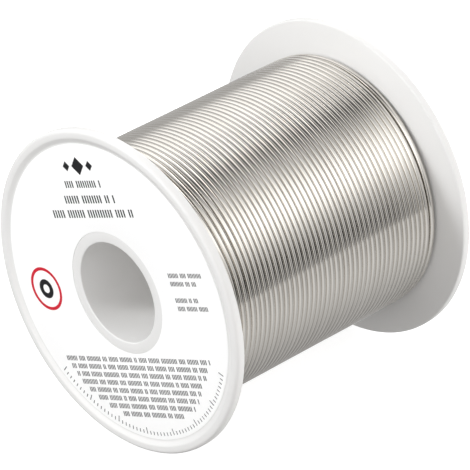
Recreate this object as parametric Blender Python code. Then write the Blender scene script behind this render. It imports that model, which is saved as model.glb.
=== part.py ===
"""Solder wire spool: a white three-piece plastic spool, full of bright soft-solder wire.

Metres, +Z up. The spool's axis is Y and the origin is the middle of its bore. The labelled
flange faces -Y. The spool lies on its two rims, as it does on a bench, with a flat facet of
each rim turned to the floor.
"""

import math

import bmesh
import bpy
import numpy as np
from mathutils import Matrix, Vector

# Spool, moulded in white polystyrene
FLANGE_RADIUS = 0.040
SPOOL_LENGTH = 0.0758
FLANGE_THICKNESS = 0.0024
RIM_WIDTH = 0.0023
RIM_OUTER_ROUND = 0.0009
RIM_INNER_ROUND = 0.0004
RECESS_DEPTH = 0.0006
RECESS_SLOPE_RUN = 0.0007
BORE_RADIUS = 0.01235
BORE_CHAMFER = 0.0004
SPIGOT_WALL = 0.00265
SHOULDER_WIDTH = 0.0020

# Paper label on the front flange
LABEL_THICKNESS = 0.00015
LABEL_EDGE_MARGIN = 0.0006
LABEL_HOLE_MARGIN = 0.00005

# Winding. The real outer layer holds 47 turns of this wire: the solid winds every second one.
WIRE_DIAMETER = 0.0015
WINDING_RADIUS = 0.032
OUTER_LOOPS = 24
POINTS_PER_LOOP = 24
WIRE_END_BEND = 0.0015
BEND_POINTS = 4
LEAST_WIRE_GAP = 0.0004

# Fits and facets
SEAT_GAP = 0.0003
ROUND_SEGMENTS = 64
ROUND_STEPS = 4
WIRE_SIDES_RESOLUTION = 1

# What the sizes above make
SPIGOT_RADIUS = BORE_RADIUS + SPIGOT_WALL
BARREL_RADIUS = SPIGOT_RADIUS + SHOULDER_WIDTH
CROWN_Y = SPOOL_LENGTH / 2
FLOOR_Y = CROWN_Y - RECESS_DEPTH
INNER_FACE_Y = CROWN_Y - FLANGE_THICKNESS
RECESS_TOP_RADIUS = FLANGE_RADIUS - RIM_WIDTH
RECESS_FLOOR_RADIUS = RECESS_TOP_RADIUS - RECESS_SLOPE_RUN
WIRE_RADIUS = WIRE_DIAMETER / 2
TURN_RADIUS = WINDING_RADIUS - WIRE_RADIUS
CHORD_RADIUS = TURN_RADIUS * math.cos(math.pi / POINTS_PER_LOOP)
CORE_RADIUS = CHORD_RADIUS - WIRE_RADIUS - SEAT_GAP

WHITE_PLASTIC = (0.80, 0.80, 0.79, 1.0)
LABEL_WHITE = (0.93, 0.93, 0.93, 1.0)
TIN = (0.72, 0.71, 0.68, 1.0)


def clear_scene():
    for old in list(bpy.data.objects):
        bpy.data.objects.remove(old, do_unlink=True)


def finish_material(name, colour, roughness, metallic):
    material = bpy.data.materials.new(name)
    material.use_nodes = True
    shader = material.node_tree.nodes["Principled BSDF"]
    shader.inputs["Base Color"].default_value = colour
    shader.inputs["Roughness"].default_value = roughness
    shader.inputs["Metallic"].default_value = metallic
    return material


def add_object(name, mesh, material):
    mesh.materials.append(material)
    obj = bpy.data.objects.new(name, mesh)
    bpy.context.scene.collection.objects.link(obj)
    return obj


def corner_arc(centre_radius, centre_y, radius, start_deg, end_deg):
    """Points of a rounded corner, as (radius, y), from one angle to the other."""
    points = []
    for step in range(ROUND_STEPS + 1):
        angle = math.radians(start_deg + (end_deg - start_deg) * step / ROUND_STEPS)
        points.append((
            centre_radius + radius * math.cos(angle),
            centre_y + radius * math.sin(angle),
        ))
    return points


def turned_mesh(name, profile):
    """Revolves a closed profile of (radius, y) points about the spool's axis.

    The first section stands half a facet away from straight down, so a facet lies on the floor.
    """
    half_facet = math.pi / ROUND_SEGMENTS
    start = Matrix.Rotation(half_facet, 3, "Y")
    bm = bmesh.new()
    section = [bm.verts.new(start @ Vector((0, y, -radius))) for radius, y in profile]
    edges = [
        bm.edges.new((section[i], section[(i + 1) % len(section)]))
        for i in range(len(section))
    ]
    bmesh.ops.spin(
        bm, geom=section + edges, cent=(0, 0, 0), axis=(0, 1, 0),
        angle=2 * math.pi, steps=ROUND_SEGMENTS, use_merge=True,
    )
    bmesh.ops.recalc_face_normals(bm, faces=bm.faces[:])
    mesh = bpy.data.meshes.new(name)
    bm.to_mesh(mesh)
    bm.free()
    mesh.shade_smooth()
    mesh.set_sharp_from_angle(angle=math.radians(30))
    return mesh


def make_flange(name, side, plastic):
    """A pressed-on end disc: raised rounded rim, sloped edge, flat recess, hole for the barrel."""
    hole = SPIGOT_RADIUS + SEAT_GAP
    outward = [
        (hole, FLOOR_Y),
        (RECESS_FLOOR_RADIUS, FLOOR_Y),
        (RECESS_TOP_RADIUS, CROWN_Y),
    ]
    outward += corner_arc(
        FLANGE_RADIUS - RIM_OUTER_ROUND, CROWN_Y - RIM_OUTER_ROUND,
        RIM_OUTER_ROUND, 90, 0,
    )
    outward += corner_arc(
        FLANGE_RADIUS - RIM_INNER_ROUND, INNER_FACE_Y + RIM_INNER_ROUND,
        RIM_INNER_ROUND, 0, -90,
    )
    outward.append((hole, INNER_FACE_Y))
    profile = [(radius, side * y) for radius, y in outward]
    return add_object(name, turned_mesh(name, profile), plastic)


def make_barrel(plastic):
    """The tube between the flanges: each end is turned down to a spigot with a shoulder."""
    shoulder_y = INNER_FACE_Y - SEAT_GAP
    half = [
        (BORE_RADIUS, FLOOR_Y - BORE_CHAMFER),
        (BORE_RADIUS + BORE_CHAMFER, FLOOR_Y),
        (SPIGOT_RADIUS, FLOOR_Y),
        (SPIGOT_RADIUS, shoulder_y),
        (BARREL_RADIUS, shoulder_y),
    ]
    profile = half + [(radius, -y) for radius, y in reversed(half)]
    return add_object("barrel", turned_mesh("barrel", profile), plastic)


def ring_profile(inner, outer, low_y, high_y):
    return [(inner, low_y), (outer, low_y), (outer, high_y), (inner, high_y)]


def make_label(paper):
    """The round label in the front recess. Its hole leaves the barrel's end ring bare."""
    back_y = -(FLOOR_Y + SEAT_GAP)
    profile = ring_profile(
        SPIGOT_RADIUS + LABEL_HOLE_MARGIN, RECESS_FLOOR_RADIUS - LABEL_EDGE_MARGIN,
        back_y - LABEL_THICKNESS, back_y,
    )
    return add_object("front_label", turned_mesh("front_label", profile), paper)


def make_inner_layers(solder):
    """All the wound layers under the outer one, as one plain ring round the barrel."""
    half_width = INNER_FACE_Y - SEAT_GAP
    profile = ring_profile(
        BARREL_RADIUS + SEAT_GAP, CORE_RADIUS, -half_width, half_width
    )
    return add_object("inner_layers", turned_mesh("inner_layers", profile), solder)


def wire_route():
    """The outer layer's centre line, as points on the turn cylinder.

    It leaves the front flange square to it, bends into a helix of equal turns, and bends
    again to meet the rear flange square.
    """
    face_y = INNER_FACE_Y - SEAT_GAP
    first_turn_y = -(face_y - WIRE_DIAMETER - WIRE_END_BEND)
    pitch = -2 * first_turn_y / OUTER_LOOPS
    unrolled = [(-WIRE_END_BEND, -face_y)]
    for step in range(BEND_POINTS):
        angle = math.pi / 2 * step / BEND_POINTS
        unrolled.append((
            -WIRE_END_BEND * math.cos(angle),
            first_turn_y - WIRE_END_BEND * (1 - math.sin(angle)),
        ))
    loop_points = OUTER_LOOPS * POINTS_PER_LOOP
    loop_length = 2 * math.pi * TURN_RADIUS
    whole_length = OUTER_LOOPS * loop_length
    start_bend = list(unrolled)
    for step in range(loop_points + 1):
        share = step / loop_points
        unrolled.append((whole_length * share, first_turn_y + pitch * OUTER_LOOPS * share))
    unrolled += [(whole_length - along, -y) for along, y in reversed(start_bend)]
    route = []
    for along, y in unrolled:
        angle = along / TURN_RADIUS
        route.append((TURN_RADIUS * math.sin(angle), y, -TURN_RADIUS * math.cos(angle)))
    return route


def least_gap(route):
    """The least clear distance between stretches of wire that aren't neighbours."""
    centres = np.array(route)
    apart = POINTS_PER_LOOP // 2
    least = math.inf
    for index in range(len(centres) - apart):
        distances = np.linalg.norm(centres[index + apart:] - centres[index], axis=1)
        least = min(least, float(distances.min()))
    return least - WIRE_DIAMETER


def make_outer_turns(solder):
    """The outer layer, as one unbroken wire."""
    route = wire_route()
    gap = least_gap(route)
    print(f"outer turns: least gap {gap * 1000:.2f} mm, over {LEAST_WIRE_GAP * 1000:.1f} mm")
    curve = bpy.data.curves.new("outer_turns", "CURVE")
    curve.dimensions = "3D"
    curve.bevel_depth = WIRE_RADIUS
    curve.bevel_resolution = WIRE_SIDES_RESOLUTION
    curve.use_fill_caps = True
    spline = curve.splines.new("POLY")
    spline.points.add(len(route) - 1)
    for point, place in zip(spline.points, route):
        point.co = (*place, 1.0)
    return add_object("outer_turns", curve, solder)


def make_spool():
    clear_scene()
    plastic = finish_material("white_polystyrene", WHITE_PLASTIC, 0.35, 0.0)
    paper = finish_material("label_paper", LABEL_WHITE, 0.55, 0.0)
    solder = finish_material("bright_solder", TIN, 0.22, 1.0)
    make_barrel(plastic)
    make_flange("front_flange", -1, plastic)
    make_flange("rear_flange", 1, plastic)
    make_label(paper)
    make_inner_layers(solder)
    make_outer_turns(solder)


make_spool()
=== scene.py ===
import math
import random

import bmesh
import bpy
from mathutils import Matrix, Vector


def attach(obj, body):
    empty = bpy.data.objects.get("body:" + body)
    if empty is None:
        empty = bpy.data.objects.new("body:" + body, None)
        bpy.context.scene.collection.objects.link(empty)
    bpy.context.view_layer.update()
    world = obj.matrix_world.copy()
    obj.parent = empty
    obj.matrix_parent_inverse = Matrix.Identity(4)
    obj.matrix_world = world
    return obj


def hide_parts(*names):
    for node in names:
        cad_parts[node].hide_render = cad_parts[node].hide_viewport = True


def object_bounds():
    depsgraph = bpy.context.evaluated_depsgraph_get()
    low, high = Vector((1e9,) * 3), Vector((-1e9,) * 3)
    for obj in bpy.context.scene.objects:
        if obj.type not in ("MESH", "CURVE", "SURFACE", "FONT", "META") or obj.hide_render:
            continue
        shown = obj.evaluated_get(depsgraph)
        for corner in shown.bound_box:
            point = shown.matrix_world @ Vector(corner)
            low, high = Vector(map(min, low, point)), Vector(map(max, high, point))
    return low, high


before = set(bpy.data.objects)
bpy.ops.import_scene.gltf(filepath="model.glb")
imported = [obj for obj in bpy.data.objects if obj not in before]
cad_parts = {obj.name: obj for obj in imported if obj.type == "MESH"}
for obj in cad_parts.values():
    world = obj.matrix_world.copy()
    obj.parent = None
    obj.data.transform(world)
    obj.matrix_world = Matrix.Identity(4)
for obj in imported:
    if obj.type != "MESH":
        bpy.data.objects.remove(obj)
cad_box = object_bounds()
scene = bpy.context.scene

# Camera. A long lens about a metre away, above and to the right of the labelled flange,
# so that the spool is seen almost in parallel view, as in a catalogue photograph.
CAMERA_RIGHT = Vector((0.69723, 0.71685, 0.0))
CAMERA_UP = Vector((-0.37809, 0.36774, 0.84960))
CAMERA_BACK = Vector((0.60903, -0.59237, 0.52743))
CAMERA_PLACE = Vector((0.61112, -0.59421, 0.52856))
LENS_MM = 329.43

lens = bpy.data.cameras.new("catalogue_lens")
lens.sensor_width = 36.0
lens.lens = LENS_MM
lens.clip_start = 0.01
lens.clip_end = 50.0
camera = bpy.data.objects.new("camera", lens)
camera_axes = Matrix((CAMERA_RIGHT, CAMERA_UP, CAMERA_BACK)).transposed()
camera.matrix_world = Matrix.Translation(CAMERA_PLACE) @ camera_axes.to_4x4()
scene.collection.objects.link(camera)
scene.camera = camera
scene.view_settings.view_transform = "Standard"
scene.view_settings.look = "None"


# Studio. A light tent that the wire mirrors: a long softbox on each side overhead with a dark
# slot between them, a card at each end, a lamp's glow at the upper left in front, and a grey
# table below. Three round lamps light the white plastic, and the wire mirrors none of them.
def plug(tree, value, socket):
    """Sets a socket to a number or colour, or links an output to it."""
    if isinstance(value, bpy.types.NodeSocket):
        tree.links.new(value, socket)
    else:
        socket.default_value = value


def calc(tree, operation, *values):
    """A Math node's result."""
    node = tree.nodes.new("ShaderNodeMath")
    node.operation = operation
    for value, socket in zip(values, node.inputs):
        plug(tree, value, socket)
    return node.outputs["Value"]


def fade(tree, value, start, end, low=0.0, high=1.0):
    """Goes softly from low to high while value goes from start to end."""
    node = tree.nodes.new("ShaderNodeMapRange")
    node.interpolation_type = "SMOOTHSTEP"
    plug(tree, value, node.inputs["Value"])
    plug(tree, start, node.inputs["From Min"])
    plug(tree, end, node.inputs["From Max"])
    plug(tree, low, node.inputs["To Min"])
    plug(tree, high, node.inputs["To Max"])
    return node.outputs["Result"]


def product(tree, *values):
    """The values multiplied together."""
    result = values[0]
    for value in values[1:]:
        result = calc(tree, "MULTIPLY", result, value)
    return result


def total(tree, *values):
    """The values added together."""
    result = values[0]
    for value in values[1:]:
        result = calc(tree, "ADD", result, value)
    return result


LEFT_CEILING_LIGHT = 0.482
LEFT_WALL_LIGHT = 0.103
RIGHT_WALL_LIGHT = 0.546
RIGHT_SOFTBOX_FRONT_LIGHT = 1.42
RIGHT_SOFTBOX_REAR_LIGHT = 1.62
LEFT_SOFTBOX_LIGHT = 0.918
LEFT_SOFTBOX_LEAN = 7.5
REAR_CARD_LIGHT = 2.443
FRONT_CARD_LIGHT = 0.745
LAMP_GLOW_LIGHT = 3.30
LEAST_TABLE_LIGHT = 0.02

tent = bpy.data.worlds.new("light_tent")
tent.use_nodes = True
scene.world = tent
sky = tent.node_tree
sky.nodes.clear()
toward = sky.nodes.new("ShaderNodeSeparateXYZ")
sky.links.new(sky.nodes.new("ShaderNodeTexCoord").outputs["Generated"], toward.inputs[0])
across, along, height = toward.outputs

# The tent is drawn by direction: round_axis is the angle round the spool's axis in degrees,
# from the right over the top, and along goes from -1 in front to 1 at the rear. The first two
# numbers of a fade say where the soft edge of a panel starts and ends.
half_turn = product(sky, calc(sky, "ARCTAN2", height, across), 180 / math.pi)
below_left = calc(sky, "LESS_THAN", half_turn, -90.0)
round_axis = calc(sky, "MULTIPLY_ADD", below_left, 360.0, half_turn)
room = total(
    sky,
    product(sky, fade(sky, round_axis, 105, 128), LEFT_CEILING_LIGHT),
    product(sky, fade(sky, round_axis, 160, 195), LEFT_WALL_LIGHT),
    product(
        sky, fade(sky, round_axis, 4, 26, 1.0, 0.0),
        fade(sky, calc(sky, "ABSOLUTE", along), 0.15, 0.45, 1.0, 0.0), RIGHT_WALL_LIGHT,
    ),
)
right_softbox = product(
    sky,
    fade(sky, along, -0.55, -0.20, RIGHT_SOFTBOX_FRONT_LIGHT, RIGHT_SOFTBOX_REAR_LIGHT),
    fade(sky, round_axis, -3.0, 46.6),
    fade(sky, round_axis, 35.4, 95.4, 1.0, 0.0),
    fade(sky, along, 0.594, 0.834, 1.0, 0.0),
)
leaning = calc(sky, "MULTIPLY_ADD", along, LEFT_SOFTBOX_LEAN, round_axis)
left_softbox = product(
    sky,
    fade(sky, leaning, 84.2, 105.9),
    fade(sky, round_axis, 148.9, 161.9, 1.0, 0.0),
    fade(sky, along, 0.507, 0.747, 1.0, 0.0),
    fade(sky, along, -0.418, -0.018), LEFT_SOFTBOX_LIGHT,
)
rear_card = product(
    sky, fade(sky, round_axis, 70, 115), fade(sky, along, 0.611, 0.851), REAR_CARD_LIGHT
)
front_card = product(sky, fade(sky, along, -0.733, -0.493, 1.0, 0.0), FRONT_CARD_LIGHT)
towards_lamp = total(
    sky,
    product(sky, across, -0.3358), product(sky, along, -0.8681),
    product(sky, height, 0.3657),
)
lamp_glow = product(sky, fade(sky, towards_lamp, 0.9744, 0.9986), LAMP_GLOW_LIGHT)
above_table = total(
    sky, room, right_softbox, left_softbox, rear_card, front_card, lamp_glow
)
table_glow = calc(
    sky, "MAXIMUM",
    total(
        sky,
        product(sky, across, 0.533), product(sky, along, 0.373),
        product(sky, across, along, -0.969), product(sky, along, along, 0.140),
        fade(sky, height, -0.60, -0.20, 0.283, 0.129),
    ),
    LEAST_TABLE_LIGHT,
)
over_edge = fade(sky, height, -0.215, -0.185)
tent_light = total(
    sky,
    product(sky, over_edge, above_table),
    product(sky, calc(sky, "SUBTRACT", 1.0, over_edge), table_glow),
)

# The camera sees a plain white wall where everything else sees the tent.
lit = sky.nodes.new("ShaderNodeBackground")
lit.inputs["Color"].default_value = (1, 1, 1, 1)
sky.links.new(tent_light, lit.inputs["Strength"])
white_wall = sky.nodes.new("ShaderNodeBackground")
white_wall.inputs["Color"].default_value = (1, 1, 1, 1)
seen_directly = sky.nodes.new("ShaderNodeMixShader")
ray_kind = sky.nodes.new("ShaderNodeLightPath")
sky.links.new(ray_kind.outputs["Is Camera Ray"], seen_directly.inputs[0])
sky.links.new(lit.outputs[0], seen_directly.inputs[1])
sky.links.new(white_wall.outputs[0], seen_directly.inputs[2])
tent_surface = sky.nodes.new("ShaderNodeOutputWorld").inputs["Surface"]
sky.links.new(seen_directly.outputs[0], tent_surface)

LAMP_DISTANCE = 1.0


def soft_lamp(name, toward_lamp, width, watts, tint=(1.0, 1.0, 1.0)):
    """A round lamp aimed at the spool. The wire mirrors the tent alone, and not the lamp."""
    light = bpy.data.lights.new(name, "AREA")
    light.color = tint
    light.shape = "DISK"
    light.size = width
    light.energy = watts
    lamp = bpy.data.objects.new(name, light)
    back = Vector(toward_lamp).normalized()
    aim = back.to_track_quat("Z", "Y").to_matrix().to_4x4()
    lamp.matrix_world = Matrix.Translation(back * LAMP_DISTANCE) @ aim
    lamp.visible_glossy = False
    lamp.visible_camera = False
    scene.collection.objects.link(lamp)


soft_lamp("front_lamp", (-0.450, -0.682, 0.576), 0.28, 4.75, (0.97, 1.0, 1.02))
soft_lamp("rim_lamp", (0.439, 0.819, 0.369), 0.40, 3.4)
soft_lamp("side_lamp", (0.875, 0.423, -0.235), 0.40, 3.0)


# Floor. A plain white sheet that the spool lies on, lit from behind as well, as on a light
# table. It shows to the camera only, so that the wire mirrors the grey table of the tent.
FLOOR_SIZE = 6.0
SHEET_WHITE = (0.55, 0.55, 0.55)
SHEET_GLOW = 0.80
SHARP_ANGLE = math.radians(32)


def principled(name, colour, roughness, metallic=0.0):
    """A new material, with its shader set to an even finish."""
    material = bpy.data.materials.new(name)
    material.use_nodes = True
    shader = material.node_tree.nodes["Principled BSDF"]
    shader.inputs["Base Color"].default_value = (*colour, 1.0)
    shader.inputs["Roughness"].default_value = roughness
    shader.inputs["Metallic"].default_value = metallic
    return material


def new_piece(name, bm, material):
    """The finished bmesh as an object at the origin, smooth but for its sharp edges."""
    mesh = bpy.data.meshes.new(name)
    bm.to_mesh(mesh)
    bm.free()
    mesh.shade_smooth()
    mesh.set_sharp_from_angle(angle=SHARP_ANGLE)
    mesh.materials.append(material)
    piece = bpy.data.objects.new(name, mesh)
    scene.collection.objects.link(piece)
    return piece


bm = bmesh.new()
bmesh.ops.create_grid(
    bm, x_segments=1, y_segments=1, size=FLOOR_SIZE,
    matrix=Matrix.Translation((0, 0, cad_box[0].z)),
)
sheet = principled("white_sheet", SHEET_WHITE, 0.9)
sheet_shader = sheet.node_tree.nodes["Principled BSDF"]
sheet_shader.inputs["Emission Color"].default_value = (1, 1, 1, 1)
sheet_shader.inputs["Emission Strength"].default_value = SHEET_GLOW
floor = new_piece("floor", bm, sheet)
floor.visible_diffuse = False
floor.visible_glossy = False
floor.visible_shadow = False

# Barrel. The tube in the middle of the spool, moulded in white polystyrene. Each end is
# turned down to a spigot, whose end face shows as a ring inside the label's hole.
BORE_RADIUS = 0.01235
SPIGOT_RADIUS = 0.0150
BARREL_RADIUS = 0.0170
CROWN_Y = 0.0379
RECESS_FLOOR_Y = 0.0373
INNER_FACE_Y = 0.0355
BORE_EDGE_ROUND = 0.0003
SPIGOT_EDGE_ROUND = 0.00003
ROUND_STEPS = 256
CORNER_SEGMENTS = 5
POLYSTYRENE_WHITE = (0.779, 0.768, 0.757)
POLYSTYRENE_ROUGHNESS = 0.36
TONE_SPAN = (0.3, 0.7)


def turned(profile, steps=ROUND_STEPS):
    """Revolves a closed section about the spool's axis.

    Each corner is (radius, y, size): a size over zero rounds the corner off by about that much.
    """
    bm = bmesh.new()
    corners = [bm.verts.new((radius, y, 0)) for radius, y, size in profile]
    edges = [
        bm.edges.new((corners[i], corners[(i + 1) % len(corners)]))
        for i in range(len(corners))
    ]
    for corner, (radius, y, size) in zip(corners, profile):
        if size > 0:
            bmesh.ops.bevel(
                bm, geom=[corner], offset=size, offset_type="OFFSET",
                segments=CORNER_SEGMENTS, profile=0.5, affect="VERTICES", material=-1,
                clamp_overlap=False,
            )
    bmesh.ops.spin(
        bm, geom=bm.verts[:] + bm.edges[:], cent=(0, 0, 0), axis=(0, 1, 0),
        angle=2 * math.pi, steps=steps, use_merge=True,
    )
    bmesh.ops.recalc_face_normals(bm, faces=bm.faces[:])
    return bm


def object_place(tree):
    """The place of a point on the finished object."""
    return tree.nodes.new("ShaderNodeTexCoord").outputs["Object"]


def noise(tree, place, scale, detail):
    """The value of a Noise texture at a place."""
    node = tree.nodes.new("ShaderNodeTexNoise")
    node.inputs["Scale"].default_value = scale
    node.inputs["Detail"].default_value = detail
    tree.links.new(place, node.inputs["Vector"])
    return node.outputs["Fac"]


def vary(tree, value, dark, light, smooth, rough):
    """Takes the shader from dark and smooth to light and rough as value rises."""
    shader = tree.nodes["Principled BSDF"]
    shade = tree.nodes.new("ShaderNodeValToRGB")
    for element, position, colour in zip(shade.color_ramp.elements, TONE_SPAN, (dark, light)):
        element.position = position
        element.color = (*colour, 1)
    tree.links.new(value, shade.inputs["Fac"])
    tree.links.new(shade.outputs["Color"], shader.inputs["Base Color"])
    tree.links.new(fade(tree, value, *TONE_SPAN, smooth, rough), shader.inputs["Roughness"])


def emboss(tree, height, strength, distance):
    """Raises the shader's surface by a height, up to a distance."""
    bump = tree.nodes.new("ShaderNodeBump")
    bump.inputs["Strength"].default_value = strength
    bump.inputs["Distance"].default_value = distance
    tree.links.new(height, bump.inputs["Height"])
    tree.links.new(bump.outputs["Normal"], tree.nodes["Principled BSDF"].inputs["Normal"])


def moulded_white(name, tint, roughness):
    """White polystyrene: a faint cloudiness in colour and gloss, and a fine moulded grain."""
    material = principled(name, tint, roughness)
    tree = material.node_tree
    place = object_place(tree)
    clouded = (tint[0] * 0.985, tint[1] * 0.985, tint[2] * 0.98)
    vary(tree, noise(tree, place, 70.0, 3.0), clouded, tint, roughness - 0.03, roughness + 0.04)
    emboss(tree, noise(tree, place, 2600.0, 2.0), 0.25, 0.00001)
    return material


white_plastic = moulded_white("white_polystyrene", POLYSTYRENE_WHITE, POLYSTYRENE_ROUGHNESS)
barrel_end = [
    (BORE_RADIUS, -RECESS_FLOOR_Y, BORE_EDGE_ROUND),
    (SPIGOT_RADIUS, -RECESS_FLOOR_Y, SPIGOT_EDGE_ROUND),
    (SPIGOT_RADIUS, -INNER_FACE_Y, 0.0),
    (BARREL_RADIUS, -INNER_FACE_Y, 0.0),
]
barrel = new_piece(
    "barrel_tube",
    turned(barrel_end + [(radius, -y, size) for radius, y, size in reversed(barrel_end)]),
    white_plastic,
)
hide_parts("barrel")
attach(barrel, "root")

# Flanges. Two like end discs in the same white plastic, pressed on the barrel's spigots. Each
# has a raised rim with a full outer round, and a slope down to the recess for the label.
FLANGE_RADIUS = (cad_box[1].z - cad_box[0].z) / 2
FLANGE_HOLE = 0.01506
SLOPE_TOP_RADIUS = 0.0379
SLOPE_FOOT_RADIUS = 0.0368
HOLE_EDGE_ROUND = 0.00008
SLOPE_FOOT_ROUND = 0.0003
SLOPE_TOP_ROUND = 0.00025
RIM_OUTER_ROUND = 0.0009
RIM_INNER_ROUND = 0.0004


def flange_disc(name, side, node):
    """One end disc: side is -1 for the labelled front and 1 for the rear."""
    section = [
        (FLANGE_HOLE, RECESS_FLOOR_Y, HOLE_EDGE_ROUND),
        (SLOPE_FOOT_RADIUS, RECESS_FLOOR_Y, SLOPE_FOOT_ROUND),
        (SLOPE_TOP_RADIUS, CROWN_Y, SLOPE_TOP_ROUND),
        (FLANGE_RADIUS, CROWN_Y, RIM_OUTER_ROUND),
        (FLANGE_RADIUS, INNER_FACE_Y, RIM_INNER_ROUND),
        (FLANGE_HOLE, INNER_FACE_Y, 0.0),
    ]
    disc = new_piece(
        name, turned([(radius, side * y, size) for radius, y, size in section]), white_plastic
    )
    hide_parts(node)
    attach(disc, "root")


flange_disc("front_flange_disc", -1, "front_flange")
flange_disc("rear_flange_disc", 1, "rear_flange")

# Label. A round of coated white paper, stuck on the floor of the front recess. A hole in it
# leaves the barrel's end ring bare.
LABEL_HOLE = 0.01503
LABEL_RADIUS = 0.03638
LABEL_BACK = -0.037305
LABEL_FRONT = -0.03737
LABEL_EDGE_ROUND = 0.00002
PAPER_WHITE = (0.972, 0.962, 0.955)

paper = principled("coated_paper", PAPER_WHITE, 0.5)
fibre = noise(paper.node_tree, object_place(paper.node_tree), 1500.0, 4.0)
emboss(paper.node_tree, fibre, 0.2, 0.00001)
label = new_piece(
    "label_sheet",
    turned([
        (LABEL_HOLE, LABEL_BACK, 0.0),
        (LABEL_RADIUS, LABEL_BACK, 0.0),
        (LABEL_RADIUS, LABEL_FRONT, LABEL_EDGE_ROUND),
        (LABEL_HOLE, LABEL_FRONT, LABEL_EDGE_ROUND),
    ]),
    paper,
)
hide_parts("front_label")
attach(label, "root")

# Print. Plain marks in black and a little red on the label, in a layout that stands for
# nothing: diamonds, rows of upright ticks, a scale along the edge and two rings, all films of
# ink. Places on the print are in millimetres, before it is turned.
INK_FILM = 0.00002
PRINT_TURN = math.radians(24)
TICKS_IN_GROUPS = (7, 4, 9, 3, 6, 8, 2, 5, 7, 10, 4)
DIAMOND_UP = 31.0
HEAD_ROWS = ((26.6, -6.4, 6.6, 1.7, 1), (22.9, -8.2, 9.8, 1.9, 4), (19.4, -14.2, 15.4, 1.9, 7))
SIDE_ROW_LEFT = 20.8
SIDE_ROW_STEP = 2.0
SIDE_TICK_HEIGHT = 1.1
BLOCK_ROWS = 8
BLOCK_TOP = -16.6
BLOCK_STEP = 1.95
BLOCK_REACH = 32.9
BLOCK_TICK_HEIGHT = 1.2
SCALE_TICKS = 57
SCALE_START_DEG = 214
SCALE_STEP_DEG = 2
SCALE_TICK_WIDTH = 0.22
RING_STEPS = 64


def ink_bar(bm, right, up, length, width, turn_deg=0.0):
    """A bar of ink centred on right, up on the turned print, in millimetres."""
    flat = Matrix.Diagonal((length / 1000, INK_FILM, width / 1000, 1))
    turn = Matrix.Rotation(math.radians(-turn_deg), 4, "Y")
    place = Matrix.Translation((right / 1000, LABEL_FRONT - INK_FILM / 2, up / 1000))
    print_turn = Matrix.Rotation(-PRINT_TURN, 4, "Y")
    bmesh.ops.create_cube(bm, size=1.0, matrix=print_turn @ place @ turn @ flat)


def ink_ticks(bm, up, left, right, height, first_group):
    """A straight row of upright ticks in groups, between two places."""
    width = 0.24 * height
    step = 0.48 * height
    group = first_group
    while left < right:
        count = TICKS_IN_GROUPS[group % len(TICKS_IN_GROUPS)]
        for tick in range(count):
            if left < right:
                ink_bar(bm, left, up, width, height)
            left += step
        left += 0.55 * height
        group += 1


bm = bmesh.new()
for right, across_corners in ((-4.2, 1.7), (0.0, 3.1), (4.2, 1.7)):
    ink_bar(bm, right, DIAMOND_UP, across_corners, across_corners, 45)
for up, left, right, tick_height, first_group in HEAD_ROWS:
    ink_ticks(bm, up, left, right, tick_height, first_group)
for row in range(2):
    drop = SIDE_ROW_STEP * row
    ink_ticks(bm, 4.4 - drop, SIDE_ROW_LEFT, 32.4 - 2.8 * row, SIDE_TICK_HEIGHT, 2 * row)
    ink_ticks(bm, -1.6 - drop, SIDE_ROW_LEFT, 28.6 + 2.6 * row, SIDE_TICK_HEIGHT, 2 * row + 5)
for row in range(BLOCK_ROWS):
    up = BLOCK_TOP - BLOCK_STEP * row
    reach = math.sqrt(BLOCK_REACH ** 2 - (up - BLOCK_TICK_HEIGHT / 2) ** 2)
    left = max(-reach, -26.5 + 1.1 * row)
    right = min(reach, 26.0 - 1.6 * row)
    ink_ticks(bm, up, left, right, BLOCK_TICK_HEIGHT, 3 * row)
for tick in range(SCALE_TICKS):
    long_tick = tick % 8 == 0
    angle_deg = SCALE_START_DEG + SCALE_STEP_DEG * tick
    angle = math.radians(angle_deg)
    radius = 34.6 if long_tick else 35.0
    length = 1.6 if long_tick else 0.9
    ink_bar(
        bm, radius * math.cos(angle), radius * math.sin(angle), length, SCALE_TICK_WIDTH,
        angle_deg,
    )
black_ink = principled("black_ink", (0.016, 0.016, 0.018), 0.45)
marks = new_piece("label_black_marks", bm, black_ink)
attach(marks, "root")


def ink_ring(middle, inner, outer):
    """A flat ring of ink about a middle on the label, in metres."""
    bm = turned([
        (inner, LABEL_FRONT, 0.0), (outer, LABEL_FRONT, 0.0),
        (outer, LABEL_FRONT - INK_FILM, 0.0), (inner, LABEL_FRONT - INK_FILM, 0.0),
    ], RING_STEPS)
    bmesh.ops.translate(bm, vec=middle, verts=bm.verts[:])
    return bm


RING_MIDDLE = Matrix.Rotation(-PRINT_TURN, 3, "Y") @ Vector((-0.0262, 0.0, 0.0008))
red_ink = principled("red_ink", (0.62, 0.015, 0.035), 0.45)
ring = new_piece("label_red_ring", ink_ring(RING_MIDDLE, 0.0046, 0.0054), red_ink)
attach(ring, "root")
inner_ring = new_piece("label_black_ring", ink_ring(RING_MIDDLE, 0.0011, 0.0024), black_ink)
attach(inner_ring, "root")

# Wound layers under the outer one. The same wire, wound back and forth: a ribbed body of the
# deep layers on the barrel, and the last layer below the outer one, wound the other way.
WIRE_RADIUS = 0.00074
PITCH = 0.0014872
OUTER_RADIUS = 0.0320 - WIRE_RADIUS
LOWER_RADIUS = OUTER_RADIUS - 2 * WIRE_RADIUS
DEEP_RADIUS = LOWER_RADIUS - WIRE_RADIUS
TIN_COLOUR = (0.75, 0.725, 0.685)
TIN_DARK = (0.72, 0.69, 0.645)
TIN_LIGHT = (0.78, 0.75, 0.705)
STREAKS_PER_METRE = 5200.0
STREAKS_ROUND = 5.0


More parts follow.
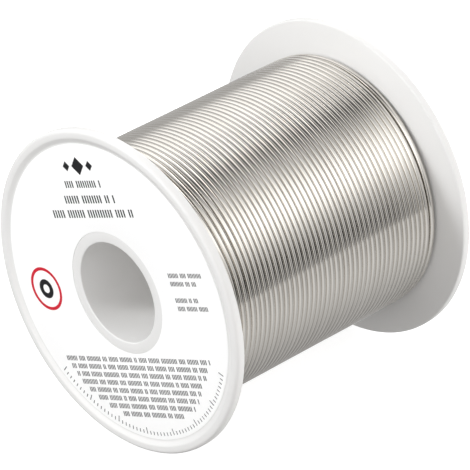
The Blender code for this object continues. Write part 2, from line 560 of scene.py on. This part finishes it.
def bright_tin(name):
    """Drawn tin alloy: bright metal, faintly warm, a little different from turn to turn, with
    fine streaks along the wire from the drawing die."""
    material = principled(name, TIN_COLOUR, 0.09, 1.0)
    tree = material.node_tree
    place = object_place(tree)
    turns = tree.nodes.new("ShaderNodeMapping")
    turns.inputs["Scale"].default_value = (30.0, 420.0, 30.0)
    tree.links.new(place, turns.inputs["Vector"])
    turn_tone = noise(tree, turns.outputs["Vector"], 1.0, 2.0)
    vary(tree, turn_tone, TIN_DARK, TIN_LIGHT, 0.07, 0.11)
    spot = tree.nodes.new("ShaderNodeSeparateXYZ")
    tree.links.new(place, spot.inputs[0])
    x, y, z = spot.outputs
    from_axis = calc(tree, "SQRT", total(tree, product(tree, x, x), product(tree, z, z)))
    drawn = tree.nodes.new("ShaderNodeCombineXYZ")
    plug(tree, product(tree, from_axis, STREAKS_PER_METRE), drawn.inputs["X"])
    plug(tree, product(tree, y, STREAKS_PER_METRE), drawn.inputs["Y"])
    plug(tree, product(tree, calc(tree, "ARCTAN2", z, x), STREAKS_ROUND), drawn.inputs["Z"])
    emboss(tree, noise(tree, drawn.outputs["Vector"], 1.0, 2.0), 0.10, 0.00002)
    return material


tin = bright_tin("bright_solder")


def wire_piece(name, route, sides_resolution):
    """One unbroken tube of wire along a route of points."""
    line = bpy.data.curves.new(name, "CURVE")
    line.dimensions = "3D"
    line.bevel_depth = WIRE_RADIUS
    line.bevel_resolution = sides_resolution
    line.use_fill_caps = True
    spline = line.splines.new("POLY")
    spline.points.add(len(route) - 1)
    for point, place in zip(spline.points, route):
        point.co = (*place, 1.0)
    maker = bpy.data.objects.new(name + "_line", line)
    scene.collection.objects.link(maker)
    ready = maker.evaluated_get(bpy.context.evaluated_depsgraph_get())
    tube = bpy.data.meshes.new_from_object(ready)
    bpy.data.objects.remove(maker)
    bpy.data.curves.remove(line)
    bm = bmesh.new()
    bm.from_mesh(tube)
    bpy.data.meshes.remove(tube)
    bmesh.ops.remove_doubles(bm, verts=bm.verts[:], dist=1e-7)
    bmesh.ops.recalc_face_normals(bm, faces=bm.faces[:])
    return new_piece(name, bm, tin)


RIBS = 47
RIB_POINTS = 5
DEEP_INNER_RADIUS = BARREL_RADIUS + 0.00005
DEEP_END_Y = 0.0354
DEEP_ROUND_STEPS = 96

first_rib = -PITCH * (RIBS - 1) / 2
section = [(DEEP_INNER_RADIUS, -DEEP_END_Y, 0.0)]
for rib in range(RIBS):
    for step in range(RIB_POINTS):
        lean = math.radians(-72 + 36 * step)
        section.append((
            DEEP_RADIUS - WIRE_RADIUS + WIRE_RADIUS * math.cos(lean),
            first_rib + PITCH * rib + WIRE_RADIUS * math.sin(lean), 0.0,
        ))
section.append((DEEP_INNER_RADIUS, DEEP_END_Y, 0.0))
deep = new_piece("deep_layers", turned(section, DEEP_ROUND_STEPS), tin)
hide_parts("inner_layers")
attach(deep, "root")

LOWER_TURNS = 45.7
LOWER_PITCH = 0.001490
LOWER_START_Y = -0.03487
LOWER_POINTS = 64

route = []
for step in range(int(LOWER_TURNS * LOWER_POINTS) + 1):
    turn = step / LOWER_POINTS
    angle = -2 * math.pi * turn
    route.append((
        LOWER_RADIUS * math.cos(angle), turn * LOWER_PITCH + LOWER_START_Y,
        LOWER_RADIUS * math.sin(angle),
    ))
lower = wire_piece("lower_layer_wire", route, 2)
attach(lower, "root")

# Outer layer. The wire that shows: one unbroken length of 1.5 mm solder, close wound by
# machine from flange to flange. Turns are pushed towards the front flange beside it, and the
# last turn lies a little apart and lower.
TURN_ZERO_Y = 0.69 * PITCH - 0.03745
POINTS_PER_TURN = 96
FIRST_TURN = 1.70
LAST_TURN = 47.56
FIRST_BEND = 0.0015
LAST_BEND = 0.0008
BEND_POINTS = 8
END_DEPTH = 0.0001
STEP_ASIDE = (46.42, 46.88)
LAST_TURN_GAP = 0.29 * PITCH
LAST_TURN_SINK = 0.00018
SWAY_WAVES = 6
SWAY_ALONG = 0.000005
SWAY_OUTWARDS = 0.000007


def hump(angle_deg, start, peak, end):
    """Rises from 0 to 1 between start and peak, and falls back to 0 at end."""
    if angle_deg <= start or angle_deg >= end:
        return 0.0
    if angle_deg < peak:
        share = (angle_deg - start) / (peak - start)
    else:
        share = (end - angle_deg) / (end - peak)
    return share * share * (3 - 2 * share)


def rise(turn, start, end):
    """Goes softly from 0 to 1 while turn goes from start to end."""
    share = min(1.0, max(0.0, (turn - start) / (end - start)))
    return share * share * (3 - 2 * share)


def angle_near(turn, middle_deg):
    """The turn's angle, within half a turn of middle_deg, and the number of the turn."""
    number = math.floor(turn - middle_deg / 360 + 0.5)
    return (turn - number) * 360, number


# How far, in pitches, the turns beside the front flange are pushed towards it, by angle, and
# how much of that each turn gets: it fades out over the first nine.
NEAR_PUSH_MIDDLE = 60
NEAR_PUSH = (
    (16, 0.0), (26, 0.06), (32, 0.20), (38, 0.38), (44, 0.45), (50, 0.50), (58, 0.58),
    (66, 0.62), (72, 0.58), (84, 0.27), (93, 0.0),
)
NEAR_SHARES = (1.0, 1.0, 1.0, 0.97, 0.88, 0.74, 0.56, 0.36, 0.16)


def between(angle_deg, table):
    """The table's value at an angle, on straight lines between its rows, and 0 outside."""
    for (start, low), (end, high) in zip(table, table[1:]):
        if start <= angle_deg < end:
            return low + (high - low) * (angle_deg - start) / (end - start)
    return 0.0


# Where a turn stands a little apart from the next: its number, the gap's middle and reach in
# degrees, and its width. The turns beside a gap are pressed together, by a few micrometres
# more than they have room for.
OPEN_PLACES = ((7, 20, 60, 0.00010), (23, -5, 40, 0.00006), (27, 2, 30, 0.00006))
OPEN_FADE_TURNS = 3

# Small waves in the wire's path: the phase, the number in a turn and the drift of each.
random.seed(7)
sway = [
    (random.uniform(0, 2 * math.pi), random.choice((2, 3, 5)), random.uniform(0.05, 0.4))
    for wave in range(SWAY_WAVES)
]


def aside(turn):
    """How far the wire is pushed along the axis from its even place in the winding."""
    shift = 0.0
    angle, number = angle_near(turn, NEAR_PUSH_MIDDLE)
    if number < len(NEAR_SHARES):
        shift -= PITCH * NEAR_SHARES[number] * between(angle, NEAR_PUSH)
    for gap_number, middle, reach, size in OPEN_PLACES:
        angle, number = angle_near(turn, middle)
        side = 1 if number > gap_number else -1
        away = number - gap_number - 1 if side > 0 else gap_number - number
        opening = hump(angle, middle - reach, middle, middle + reach)
        shift += side * size / 2 * opening * math.exp(-away / OPEN_FADE_TURNS)
    for phase, waves, drift in sway:
        shift += SWAY_ALONG * math.sin(phase + 2 * math.pi * waves * turn + drift * turn)
    shift += LAST_TURN_GAP * rise(turn, *STEP_ASIDE)
    return shift


def turn_radius(turn):
    """The wire's distance from the axis. The last turn sinks in where the layer below ends."""
    radius = OUTER_RADIUS - LAST_TURN_SINK * rise(turn, *STEP_ASIDE)
    for phase, waves, drift in sway:
        radius += SWAY_OUTWARDS * math.sin(
            2 * phase + 2 * math.pi * waves * turn - drift * turn
        )
    return radius


def end_bend(turn, side, bend):
    """Where the wire turns square to a flange's inner face, past the first or last turn."""
    level = TURN_ZERO_Y + PITCH * turn + aside(turn)
    radius = turn_radius(turn)
    points = []
    for step in range(BEND_POINTS):
        lean = math.pi / 2 * (step + 1) / BEND_POINTS
        angle = 2 * math.pi * turn + side * bend * math.sin(lean) / radius
        y = level + side * bend * (1 - math.cos(lean))
        points.append((radius * math.cos(angle), y, radius * math.sin(angle)))
    points.append((points[-1][0], side * (INNER_FACE_Y + END_DEPTH), points[-1][2]))
    return points


route = end_bend(FIRST_TURN, -1, FIRST_BEND)[::-1]
for step in range(round((LAST_TURN - FIRST_TURN) * POINTS_PER_TURN) + 1):
    turn = FIRST_TURN + step / POINTS_PER_TURN
    angle = 2 * math.pi * turn
    radius = turn_radius(turn)
    level = TURN_ZERO_Y + PITCH * turn + aside(turn)
    route.append((radius * math.cos(angle), level, radius * math.sin(angle)))
route += end_bend(turn, 1, LAST_BEND)
outer = wire_piece("outer_layer_wire", route, 6)
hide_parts("outer_turns")
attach(outer, "root")
